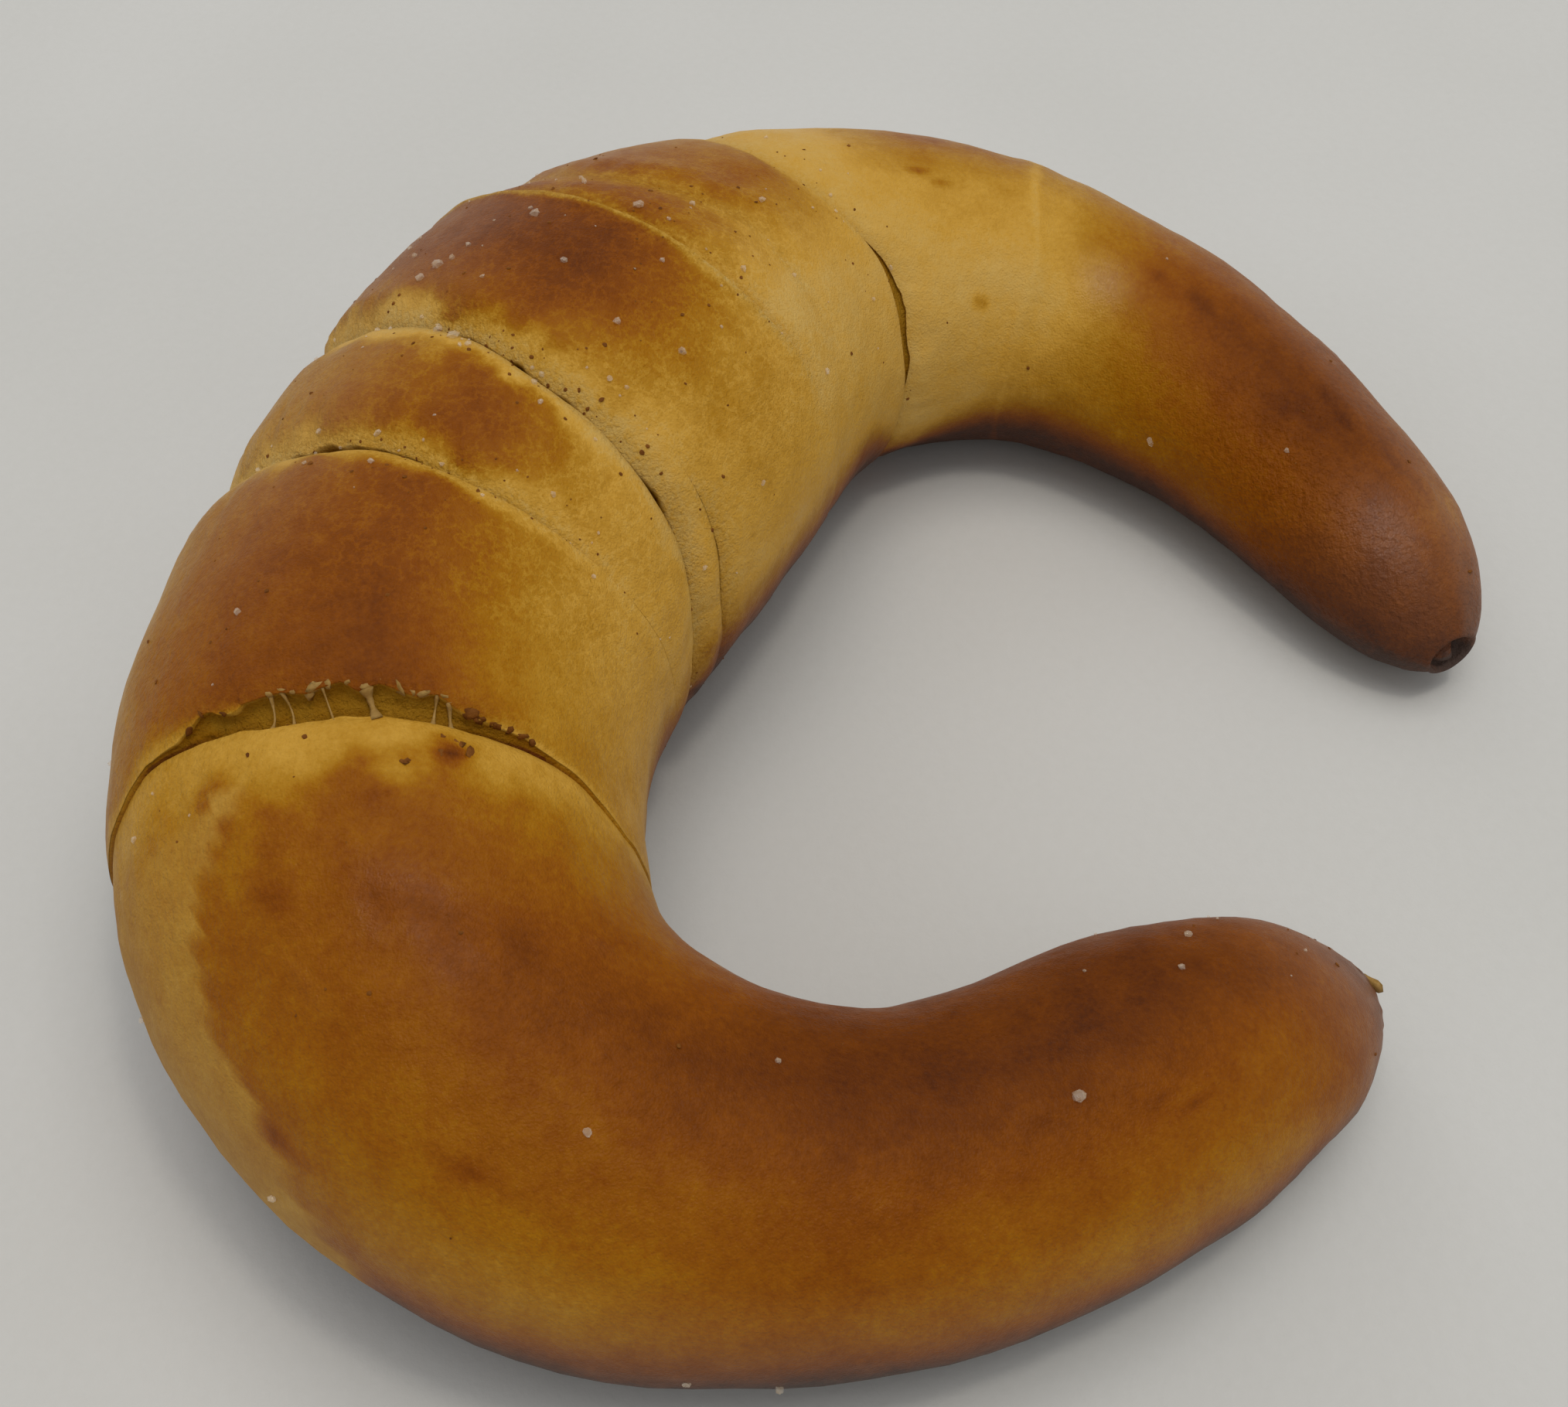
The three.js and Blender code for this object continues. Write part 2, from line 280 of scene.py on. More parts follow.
# Torn bits of pale dough on the tear's far lip, and bits of dark crust in the tear: turn, and how
# far beyond the lip.  Then bits of crust on the near side: place and turn.
TORN_BITS = [(106, 0), (103.5, 0.1), (101, -0.1), (98, 0.1), (96.5, -0.15), (94, 0.1), (89.5, 0),
             (86.5, -0.1), (84, 0.2), (80, 0), (77, 0.1), (74.5, -0.1), (71, 0)]
CRACK_BITS = [(66.5, -0.3), (65, 0.1), (63.5, -0.4), (61.5, -0.2), (60, -0.4), (58, -0.3),
              (55, -0.3), (52, -0.2), (118, -0.4), (122, -0.3), (126, -0.2)]
CRUST_BITS = [(0.3685, 73), (0.3619, 74), (0.3613, 68), (0.363, 81), (0.366, 70)]
END_FLAKE = (0.005, 108)         # a pale flake stuck to the near tip
EDGE_CRUMB = (0.985, 127)        # a crumb on the far horn's outer edge
# Where grains and crumbs gather: place, turn, spread along, spread round, share of them.
GATHERINGS = [
    (0.535, 85, 0.006, 30, 5), (0.480, 80, 0.008, 28, 4), (0.57, 100, 0.03, 30, 3),
    (0.62, 85, 0.02, 28, 3), (0.66, 70, 0.05, 30, 2), (0.42, 115, 0.03, 22, 2),
    (0.51, 30, 0.03, 30, 3), (0.025, 75, 0.015, 60, 2), (0.08, 60, 0.04, 30, 1),
    (0.90, 60, 0.06, 50, 1), (0.71, 80, 0.02, 30, 2), (0.3, 90, 0.2, 60, 1), (0.5, 150, 0.1, 30, 2),
]
ROLL_RADIUS = 20          # roughly, for judging distances round it
STREWN_PLACES, STREWN_TURNS = (0.004, 0.985), (-25, 205)   # the stretch they keep to

# Threads of dough across the tear on the bend: turn, thickness, lean along the turn.
STRANDS = [(85, 0.42, 1), (102, 0.14, 1.5), (107, 0.16, -0.5), (74, 0.17, -1), (69.5, 0.22, 1),
           (94, 0.11, 0.8)]
STRAND_STEPS, STRAND_SIDES = 9, 7
STRAND_HOLD = 0.25        # how far past the lips they start and end, and how far below the skin
STRAND_SAG = 0.7          # how much lower they hang in the middle
STRAND_WAIST = (0.55, 0.75)   # share of the thickness in the middle, and added at the ends

# ---- camera, floor and light -----------------------------

CAMERA_TARGET = (0.0058, 0.0064, 0.0)   # from the middle of the roll's base, in metres
CAMERA_DISTANCE = 0.2112
CAMERA_ELEVATION = 50.4                 # degrees; the camera looks along +X, as azimuth 270
CAMERA_ROLL = 0.6
CAMERA_LENS, CAMERA_SENSOR = 48.8, 36   # millimetres
FLOOR_SIZE = 3.0
SKY_COLOUR, SKY_STRENGTH = (0.98, 0.985, 0.99), 0.42
LIGHTS = [   # name, direction from the roll, distance, size, power in watts, colour
    ("ceiling", (0.02, -0.1, 1), 3.0, 2.2, 29, (1.0, 0.99, 0.965)),
    ("window", (0.8, 0.4, 0.55), 1.3, 0.7, 1.0, (0.97, 0.98, 1.0)),
    ("lamp", (-0.13, -0.19, 0.97), 1.1, 0.12, 1.0, (1.0, 0.93, 0.82)),
]

RNG = np.random.default_rng(7)   # for threads, grains, crumbs and bits


# ---- small maths -----------------------------------------

def natural_spline(values):
    """Natural cubic spline through evenly spaced values, as a function of places 0 to 1."""
    y = np.asarray(values, float)
    last = len(y) - 1
    system = np.eye(last + 1)
    load = np.zeros(last + 1)
    for i in range(1, last):
        system[i, i - 1:i + 2] = (1, 4, 1)
        load[i] = 6 * (y[i + 1] - 2 * y[i] + y[i - 1])
    bend = np.linalg.solve(system, load)

    def at(place):
        i = np.clip((place * last).astype(int), 0, last - 1)
        b = place * last - i
        a = 1 - b
        return a * y[i] + b * y[i + 1] + ((a**3 - a) * bend[i] + (b**3 - b) * bend[i + 1]) / 6

    return at


def smoothstep(x, low, high):
    t = np.clip((x - low) / (high - low), 0, 1)
    return t * t * (3 - 2 * t)


def along_points(points, x):
    xs, ys = zip(*points)
    return np.interp(x, xs, ys)


def round_points(points, turn, soften=9):
    """A value by turn through (turn, value) points, closed round the roll and softened."""
    angles = np.arange(360.0)
    first = points[0]
    closed = [*points, (first[0] + 360, first[1])]
    wrapped = np.where(angles >= first[0] + 360, angles - 360, angles)
    values = along_points(closed, wrapped)
    window = np.hanning(2 * soften + 3)[1:-1]
    rolled = np.concatenate([values[-soften:], values, values[:soften]])
    smooth = np.convolve(rolled, window / window.sum(), mode="valid")
    return np.interp(np.mod(turn, 360), np.arange(361.0), np.append(smooth, smooth[0]))


def signed_turn(turn):
    """A turn as -90 to 270, so that the bay side is around 0."""
    return np.where(turn > 270, turn - 360, turn)


def waves(points, wavelength, seed, count=28):
    """Smooth noise of about unit size: a sum of plane waves in random directions."""
    rng = np.random.default_rng(seed)
    total = np.zeros(points.shape[:-1])
    for _ in range(count):
        direction = rng.normal(size=3)
        direction /= np.linalg.norm(direction)
        pitch = 2 * np.pi / (wavelength * rng.uniform(0.7, 1.5))
        total += np.cos(points @ direction * pitch + rng.uniform(0, 2 * np.pi))
    return total / math.sqrt(count / 2)


# ---- the roll's form -------------------------------------

route_x = natural_spline([p[0] for p in ROUTE])
route_y = natural_spline([p[1] for p in ROUTE])
half_width = natural_spline(HALF_WIDTH)
fine_places = np.linspace(0, 1, 801)
ROUTE_LENGTH = np.hypot(np.diff(route_x(fine_places)), np.diff(route_y(fine_places))).sum()


def plain_skin(place, turn, share, drop, inset=0.0):
    """Points of the rounded form, lowered by drop and moved back from a tip by inset."""
    step = 0.001
    low, high = np.clip(place - step, 0, 1), np.clip(place + step, 0, 1)
    ahead = np.stack([route_x(high) - route_x(low), route_y(high) - route_y(low)], -1)
    ahead /= np.linalg.norm(ahead, axis=-1, keepdims=True)
    width = half_width(place)
    slimness = BODY_HEIGHT + (HORN_HEIGHT - BODY_HEIGHT) * (2 * place - 1) ** 2
    height = 2 * width * slimness
    middle = height * (TIP_RISE * (1 - share) + ROUND_CENTRE * share)
    angle = np.radians(turn)
    side = (width * share - drop) * np.cos(angle)
    rise = ((1 - ROUND_CENTRE) * height * share - drop) * np.sin(angle)
    points = np.empty(np.broadcast(place, turn, share).shape + (3,))
    points[..., 0] = route_x(place) + ahead[..., 1] * side - ahead[..., 0] * inset
    points[..., 1] = route_y(place) - ahead[..., 0] * side - ahead[..., 1] * inset
    points[..., 2] = middle + rise
    return points


def tip_rounding(place):
    near = np.clip(place * ROUTE_LENGTH / TIP_LENGTH[0], 0, 1)
    far = np.clip((1 - place) * ROUTE_LENGTH / TIP_LENGTH[1], 0, 1)
    return np.sqrt((1 - (1 - near) ** 2) * (1 - (1 - far) ** 2))


def seam_lines(turn):
    """For each seam, its place, opening, depth, relief and roughness by turn."""
    lines = []
    for number, seam in enumerate(SEAMS):
        start, end, width, depth = seam["tear"]
        angle = signed_turn(turn)
        torn = smoothstep(angle, start - TEAR_TAPER, start + TEAR_TAPER)
        torn = torn * (1 - smoothstep(angle, end - TEAR_TAPER, end + TEAR_TAPER))
        ring = np.stack([np.cos(np.radians(turn)), np.sin(np.radians(turn)), turn * 0 + number], -1)
        ring = ring * RING_RADIUS
        wander = waves(ring, 3.2, 40 + number) + 0.5 * waves(ring, 1.1, 60 + number)
        other = waves(ring, 2.6, 80 + number) + 0.5 * waves(ring, 0.8, 90 + number)
        rough = seam["ragged"] * (0.1 + 0.9 * torn)
        half = (seam["crease"][0] + width * torn) / 2
        relief = round_points(seam["strength"], turn)
        lines.append(dict(
            place=round_points(seam["route"], turn),
            half=half,
            depth=seam["crease"][1] * relief + depth * torn,
            relief=relief,
            torn=torn,
            wander=1 + 0.12 * other,
            near_rough=np.maximum(wander * rough * 0.2, -LIP_REACH * half),
            far_rough=np.maximum(other * rough * 0.4, -LIP_REACH * half),
        ))
    return lines


def seam_relief(place, lines):
    """How far the skin drops towards the seams, and how far off each seam is, in millimetres."""
    drop = np.zeros(place.shape)
    away = []
    for seam, line in zip(SEAMS, lines):
        off = (place - line["place"]) * ROUTE_LENGTH
        beyond = (np.abs(off) - line["half"]) * line["wander"]
        for side, (amount, reach, power) in ((off < 0, seam["near"]), (off >= 0, seam["far"])):
            slope = np.clip(1 - np.clip(beyond, 0, None) / reach, 0, 1)
            slope = slope ** power if power else slope * slope * (3 - 2 * slope)
            drop += np.where(side, amount * line["relief"] * slope, 0)
        lip, fade = LIP_ROUNDING
        edge = np.exp(-np.clip(beyond, 0, None) / fade) * np.clip(line["depth"] / DEEP_LIP, 0, 1)
        drop += lip * edge
        away.append(off)
    return drop, away


def roll_columns(turn):
    """The mesh's columns and the seams' lines.

    A column is arrays by turn: its place, its share of the full section (None where the tips'
    rounding sets it), how far it is moved back from the tip, how deep it lies in a split,
    how much it is inside one, and the tone there.
    """
    lines = seam_lines(turn)
    columns = []

    def add(place, share=None, inset=0.0, sink=0.0, split=0.0, inner=0.0):
        columns.append((place, share, inset + turn * 0, sink + turn * 0, split + turn * 0,
                        inner + turn * 0))

    for layer in range(len(SEAMS) + 1):
        before = lines[layer - 1] if layer else None
        after = lines[layer] if layer < len(SEAMS) else None
        start, end = turn * 0, turn * 0 + 1 - FAR_TIP_CUT / ROUTE_LENGTH
        if before:
            start = before["place"] + (before["half"] + before["far_rough"]) / ROUTE_LENGTH
        if after:
            end = after["place"] - (after["half"] + after["near_rough"]) / ROUTE_LENGTH
        steps = LAYER_STEPS[layer]
        for i in range(1, steps if after else steps + 1):
            ease = 0.5 - 0.5 * math.cos(math.pi * i / steps)
            add(start + (end - start) * ease)
        if after:
            tuck = SEAMS[layer]["tuck"] * after["torn"]
            open_tone, shut_tone = SEAMS[layer]["inside"]
            inner = shut_tone + (open_tone - shut_tone) * after["torn"] ** 2
            shown = np.clip(after["depth"] / DEEP_SPLIT, 0, 1)
            for number, (across, down) in enumerate(SPLIT_PROFILE):
                even = 2 * number / (len(SPLIT_PROFILE) - 1) - 1
                reach = even + (across - even) * shown
                rough = np.where(reach < 0, -after["near_rough"], after["far_rough"])
                shift = after["half"] * reach + rough * np.abs(reach) + tuck * down
                inside = 0 < number < len(SPLIT_PROFILE) - 1
                add(after["place"] + shift / ROUTE_LENGTH, sink=after["depth"] * down,
                    split=shown * inside, inner=inner * (WALL_TONE if across > WALL_START else 1))
    tip_place = turn * 0 + 1
    for share, inset in FAR_TIP:
        pit = PIT["depth"] * math.exp(-((share - PIT["share"]) / PIT["reach"]) ** 2)
        beside = np.cos(np.radians(turn - PIT["turn"])).clip(0) ** 3
        add(tip_place, share=turn * 0 + share, inset=inset + pit * beside)
    return columns, lines


def turn_steps():
    """The mesh's turns, from the middle of the base all the way round."""
    low, high = BASE_TURNS
    half = TURNS_BASE // 2
    return np.concatenate([
        np.linspace(270, high, half, endpoint=False),
        np.mod(np.linspace(high, low + 360, TURNS_SEEN, endpoint=False), 360),
        np.linspace(low, 270, half, endpoint=False),
    ])


def blister_height(place, turn):
    height = np.zeros(place.shape)
    for at, around, radius, rise in BLISTERS:
        along = (place - at) * ROUTE_LENGTH
        across = np.radians(turn - around) * half_width(np.array(at))
        off = np.hypot(along, across) / radius
        height += rise * (np.exp(-(off**2)) - BLISTER_TROUGH * np.exp(-((off - 1.5) / 0.4) ** 2))
    return height


def build_form():
    """The skin's points by column and turn, with what the materials need to know."""
    turn = turn_steps()
    columns, lines = roll_columns(turn)
    place, share, inset, sink, split, inner = zip(*columns)
    place = np.array(place)
    rounding = tip_rounding(place)
    share = np.array([rounding[i] if s is None else s for i, s in enumerate(share)])
    inset, sink, split, inner = map(np.array, (inset, sink, split, inner))
    turns = np.broadcast_to(turn, place.shape)

    relief, away = seam_relief(place, lines)
    plain = plain_skin(place, turns, share, 0)
    full = smoothstep(share, 0.2, 0.9)
    raised = blister_height(place, turns)
    for amount, (height, wavelength, seed) in (
        *((full, swelling) for swelling in SWELLINGS), (1, FINE_LUMPS),
        (smoothstep(place, 0.02, 0.004), TIP_LUMPS),
    ):
        raised += amount * height * waves(plain, wavelength, seed)
    points = plain_skin(place, turns, share, relief + sink - raised, inset)

    # The base is flat, with a shallow groove where a seam crosses it.
    groove = np.clip(0.3 * relief + 0.5 * sink, 0, 1.2)
    under = points[..., 2] < groove * 0.6
    points[..., 2] = np.where(under & (share > 0.5), np.maximum(points[..., 2], groove * 0.35),
                              np.maximum(points[..., 2], 0))
    poles = plain_skin(np.array([0.0, 1.0]), np.zeros(2), np.zeros(2), 0,
                       np.array([0.0, FAR_TIP[-1][1]]))
    shift = np.array([0.0, 0.0, 0.0])
    low, high = points.reshape(-1, 3).min(0), points.reshape(-1, 3).max(0)
    shift[:2] = -(low + high)[:2] / 2
    return dict(points=points + shift, poles=poles + shift, place=place, turn=turns, share=share,
                split=split, inner=inner, away=away, lines=lines)


# ---- baking tones ----------------------------------------

def tones(form):
    """Browning, gloss, and a pinkish tint that is partly painted sheen, over the skin, each from 0
    to 1.
    """
    place, turn = form["place"], form["turn"]
    angle = signed_turn(turn)
    tone = along_points(TONE_CURVES[0][1], place)
    for (first, _), (second, curve) in zip(TONE_CURVES, TONE_CURVES[1:]):
        blend = np.clip((angle - first) / (second - first), 0, 1)
        tone = tone + (along_points(curve, place) - tone) * blend

    # The base is dark crust, and the low sides darken towards it: partly their own crust, partly
    # painted shade near the floor.
    outer, inner = BASE_FADE
    at, reach, lower = BASE_PALE
    lowered = -angle - lower * np.exp(-(((place - at) / reach) ** 2))
    base_and_shade = smoothstep(angle, *outer) + smoothstep(lowered, *inner)
    tone += (BASE_AND_SHADE_TONE - tone) * np.clip(base_and_shade, 0, 1)
    for at, around, along, across, amount in SCORCHES:
        off = ((place - at) * ROUTE_LENGTH / along) ** 2 + ((angle - around) / across) ** 2
        tone += amount * np.exp(-off)

    # Unbrowned dough shows beside the seams.
    points = form["points"]
    wander = 1 + 0.22 * waves(points, 7, 21) + 0.1 * waves(points, 2.5, 22)
    pale = np.zeros(place.shape)
    for seam, line, off in zip(SEAMS, form["lines"], form["away"]):
        near, far, amount = seam["pale"]
        reach = np.where(off < 0, near, far) * wander
        band = np.exp(-np.clip(np.abs(off) / reach, 0, 4) ** 3)
        shown = np.clip(0.25 + 0.75 * line["relief"], 0, 1)
        pale = np.maximum(pale, amount * band * shown)
    pale *= 1 - 0.5 * np.clip(base_and_shade, 0, 1)
    tone += (PALE_TONE - tone) * pale

    # The bend's outer side is bare of glaze.
    edge_turn = np.interp(place, *zip(*GLAZE_EDGE), left=400, right=400)
    edge_turn = edge_turn + 1.5 * waves(points, 5, 23)
    bare = smoothstep(angle - edge_turn, -0.8, 1.2) * (1 - smoothstep(angle, 190, 215))
    bare *= 1 - pale
    tone += (BARE_TONE - tone) * bare

    # The tips, the back, the low sides and the bare side get a pinkish tint, partly the crust's own
    # and partly a painted sheen of the sky; on the back it is mostly painted sheen.
    back = smoothstep(angle, 92, 125) * smoothstep(place, 0.38, 0.5)
    pink_and_sheen = 0.9 * smoothstep(place, 0.08, 0.01) + 0.4 * smoothstep(place, 0.93, 0.99) + 0.8 * back
    pink_and_sheen += 0.5 * smoothstep(angle, 140, 175) + 0.5 * np.clip(base_and_shade, 0, 1)
    pink_and_sheen = np.clip(pink_and_sheen + 0.4 * bare, 0, 1)
    gloss = np.clip(1 - 0.9 * pale - 0.85 * bare - 0.5 * np.clip(base_and_shade, 0, 1), 0, 1)

    tone += (form["inner"] - tone) * form["split"]
    return dict(tone=np.clip(tone, 0, 1), gloss=gloss, pink_and_sheen=pink_and_sheen)


def textures(form):
    """Strength of the leathery grain, the crumbly dough at seams, the pale veins, and wet glaze."""
    place, angle = form["place"], signed_turn(form["turn"])
    far_end = smoothstep(place, 0.86, 0.95)
    back = smoothstep(angle, 95, 140) * smoothstep(place, 0.3, 0.42)
    leather = np.clip(0.3 + 0.7 * far_end + 0.4 * back, 0, 1)
    crumbly = np.zeros(place.shape)
    for seam, line, off in zip(SEAMS, form["lines"], form["away"]):
        reach = np.where(off < 0, 1.2, 2.4)
        near = np.exp(-((off / reach) ** 2)) * np.clip(line["relief"], 0, 1)
        crumbly = np.maximum(crumbly, near * CRUMBLY.get(seam["name"], 0))
    bands = smoothstep(place, 0.39, 0.44) * (1 - smoothstep(place, 0.66, 0.7))
    veins = 0.12 + 0.88 * bands * smoothstep(angle, 5, 35) * (1 - smoothstep(angle, 95, 125))
    wet = np.zeros(place.shape)
    shiny = [(at, around, radius, WET_BLISTER) for at, around, radius, rise in BLISTERS if rise > 0]
    for at, around, reach, share in WET_SPOTS + shiny:
        along = (place - at) * ROUTE_LENGTH
        across = np.radians(angle - around) * half_width(np.array(at))
        wet = np.maximum(wet, share * np.exp(-(along**2 + across**2) / reach**2))
    return dict(leather=leather, crumbly=crumbly, veins=veins, wet=wet)


# ---- meshes ----------------------------------------------

def make_piece(name, points, faces, material):
    """A named object from points in millimetres, riding on the root body."""
    mesh = bpy.data.meshes.new(name)
    mesh.from_pydata((np.asarray(points) * MM).tolist(), [], faces)
    mesh.materials.append(material)
    piece = bpy.data.objects.new(name, mesh)
    bpy.context.scene.collection.objects.link(piece)
    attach(piece, "root")
    return piece


def add_value(mesh, name, values):
    layer = mesh.attributes.new(name, "FLOAT", "POINT")
    layer.data.foreach_set("value", np.ascontiguousarray(values, dtype=np.float32).ravel())


def make_roll(form, material):
    columns, turns = form["place"].shape
    points = np.concatenate([form["poles"][:1], form["points"].reshape(-1, 3), form["poles"][1:]])
    grid = 1 + np.arange(columns * turns).reshape(columns, turns)
    after = np.roll(grid, -1, axis=1)
    quads = np.stack([grid[:-1], grid[1:], after[1:], after[:-1]], -1).reshape(-1, 4)
    last = len(points) - 1
    near_fan = [(0, int(a), int(b)) for a, b in zip(grid[0], after[0])]
    far_fan = [(last, int(b), int(a)) for a, b in zip(grid[-1], after[-1])]
    piece = make_piece("crescent_roll_baked", points, quads.tolist() + near_fan + far_fan,
                       material)
    mesh = piece.data
    mesh.shade_smooth()

    for name, values in dict(tones(form), **textures(form), split=form["split"]).items():
        ends = values[0].mean(), values[-1].mean()
        add_value(mesh, name, np.concatenate([[ends[0]], values.ravel(), [ends[1]]]))

    # Each strip between two turns has its own stretch of the map, so no face spans its edge.
    across = np.mod(form["turn"][0] + 90, 360) / 360
    across_after = np.append(across[1:], 1.0)
    # Along the roll it follows place, with a little room for the columns inside a split.
    along = np.linspace(0, 1, columns + 2)
    spread = form["place"].mean(axis=1) * 0.9 + np.arange(columns) / columns * 0.1
    along[1:-1] = 0.01 + 0.98 * (spread - spread[0]) / (spread[-1] - spread[0])
    np.maximum.accumulate(along, out=along)
    quad_maps = np.empty((columns - 1, turns, 4, 2))
    quad_maps[..., 0, 0] = quad_maps[..., 1, 0] = across
    quad_maps[..., 2, 0] = quad_maps[..., 3, 0] = across_after
    quad_maps[..., 0, 1] = quad_maps[..., 3, 1] = along[1:-2, None]
    quad_maps[..., 1, 1] = quad_maps[..., 2, 1] = along[2:-1, None]
    maps = [quad_maps]
    for tip, ring, left, right in ((along[0], along[1], across, across_after),
                                   (along[-1], along[-2], across_after, across)):
        fan_maps = np.empty((turns, 3, 2))
        fan_maps[..., 0] = np.stack([(left + right) / 2, left, right], -1)
        fan_maps[..., 1] = (tip, ring, ring)
        maps.append(fan_maps)
    layer = mesh.uv_layers.new(name="OFBake")
    layer.uv.foreach_set("vector", np.concatenate([part.ravel() for part in maps], dtype=np.float32))
    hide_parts("crescent_roll")
    return piece


def skin_frame(form, place, turn):
    """The skin's point, outward direction and direction along the roll at a place and turn.

    It is the nearest point of the mesh that isn't inside a split.
    """
    off = np.radians(np.mod(form["turn"] - turn + 180, 360) - 180) * ROLL_RADIUS
    gap = ((form["place"] - place) * ROUTE_LENGTH) ** 2 + off**2
    column, ring = np.unravel_index(np.argmin(gap + 100 * (form["split"] > 0.1)), gap.shape)
    points = form["points"]
    columns, turns = gap.shape
    low, high = max(column - 2, 0), min(column + 2, columns - 1)
    along = points[high, ring] - points[low, ring]
    across = points[column, (ring + 2) % turns] - points[column, (ring - 2) % turns]
    outward = np.cross(along, across)
    outward /= np.linalg.norm(outward) + 1e-9
    along /= np.linalg.norm(along) + 1e-9
    return points[column, ring], outward, along


def strewn(count):
    """Places and turns of strewn pieces, gathered as GATHERINGS says."""
    weights = np.array([gathering[-1] for gathering in GATHERINGS], float)
    picks = RNG.choice(len(GATHERINGS), size=count, p=weights / weights.sum())
    spots = []
    for pick in picks:
        at, around, along, across, _ = GATHERINGS[pick]
        spots.append((float(np.clip(RNG.normal(at, along), *STREWN_PLACES)),
                      float(np.clip(RNG.normal(around, across), *STREWN_TURNS))))
    return spots


def chunk(size, flatness):
    """Corners and faces of one small broken bit: an uneven cube, each side raised to a point."""
    corners = np.array([(x, y, z) for x in (-1, 1) for y in (-1, 1) for z in (-1, 1)], float)
    extra = np.array([(1.3, 0, 0), (-1.25, 0, 0.1), (0, 1.25, 0), (0.1, -1.3, 0), (0, 0, 1.25),
                      (0, 0, -1.2)])
    points = np.concatenate([corners * RNG.uniform(0.62, 0.95, (8, 1)), extra])
    points = (points + RNG.normal(0, 0.1, points.shape)) * size
    points *= RNG.uniform(0.75, 1.25, 3)
    points[:, 2] *= flatness
    faces = []
    for tip, axis, sign in ((8, 0, 1), (9, 0, -1), (10, 1, 1), (11, 1, -1), (12, 2, 1), (13, 2, -1)):
        ring = [i for i in range(8) if np.sign(corners[i, axis]) == sign]
        u, v = [(1, 2), (2, 0), (0, 1)][axis]
        ring.sort(key=lambda i: math.atan2(corners[i, v], corners[i, u]) * sign)
        faces += [(tip, ring[k], ring[(k + 1) % 4]) for k in range(4)]
    return points, faces


def lump(size, flatness):
    """Corners and faces of one small rounded shred: a ball pushed in and out unevenly."""
    rings, sides = 5, 8
    rows = [(0, 0, 1.0)]
    for ring in range(1, rings):
        across = math.pi * ring / rings
        for side in range(sides):
            round_it = 2 * math.pi * (side + 0.5 * ring) / sides
            rows.append((math.sin(across) * math.cos(round_it),
                         math.sin(across) * math.sin(round_it), math.cos(across)))
    rows.append((0, 0, -1.0))
    points = np.array(rows)
    points *= 1 + 0.3 * waves(points, 1.6, int(RNG.integers(1000)))[:, None]
    points *= RNG.uniform(0.6, 1.35, 3) * size
    points[:, 2] *= flatness
    faces = [(0, 1 + k, 1 + (k + 1) % sides) for k in range(sides)]
    for ring in range(rings - 2):
        for k in range(sides):
            a, b = 1 + ring * sides + k, 1 + ring * sides + (k + 1) % sides
            faces.append((a, a + sides, b + sides, b))
    last = len(rows) - 1
    start = last - sides
    faces += [(last, start + (k + 1) % sides, start + k) for k in range(sides)]
    return points, faces


def scatter(form, name, spots, sizes, material, slot_name, shape=chunk, flatness=0.4, lift=0.3):
    """One piece made of small bits stuck to the skin at the spots.

    flatness is their height over their width.  lift is how far their middles stand out from the
    skin, over their half height; below 0 they are sunk.
    """
    points, faces = [], []
    for place, turn in spots:
        size = sizes[0] + (sizes[1] - sizes[0]) * RNG.random() ** 2
        bit, bit_faces = shape(size, flatness)
        spin = RNG.uniform(0, 2 * math.pi)
        tilt = RNG.normal(0, BIT_TILT, 2)
        at, outward, along = skin_frame(form, place, turn)
        side = np.cross(outward, along)
        first = along * math.cos(spin) + side * math.sin(spin) + outward * tilt[0]
        first /= np.linalg.norm(first)
        second = np.cross(outward + side * tilt[1], first)
        second /= np.linalg.norm(second)
        third = np.cross(first, second)
        placed = at + outward * size * flatness * lift + bit @ np.array([first, second, third])
        placed[:, 2] = np.maximum(placed[:, 2], LOWEST)
        start = sum(len(p) for p in points)
        points.append(placed)
        faces += [tuple(start + i for i in face) for face in bit_faces]
    piece = make_piece(name, np.concatenate(points), faces, material)
    if shape is lump:
        piece.data.shade_smooth()
    return piece


def by_lip(form, bits):
    """Places and turns of bits given by turn and distance beyond the tear's far lip."""
    line = form["lines"][BEND_TEAR]
    spots = []
    for turn, beyond in bits:
        ring = np.argmin(np.abs(form["turn"][0] - turn))
        reach = line["half"][ring] + line["far_rough"][ring] + beyond
        spots.append((line["place"][ring] + reach / ROUTE_LENGTH, turn))
    return spots


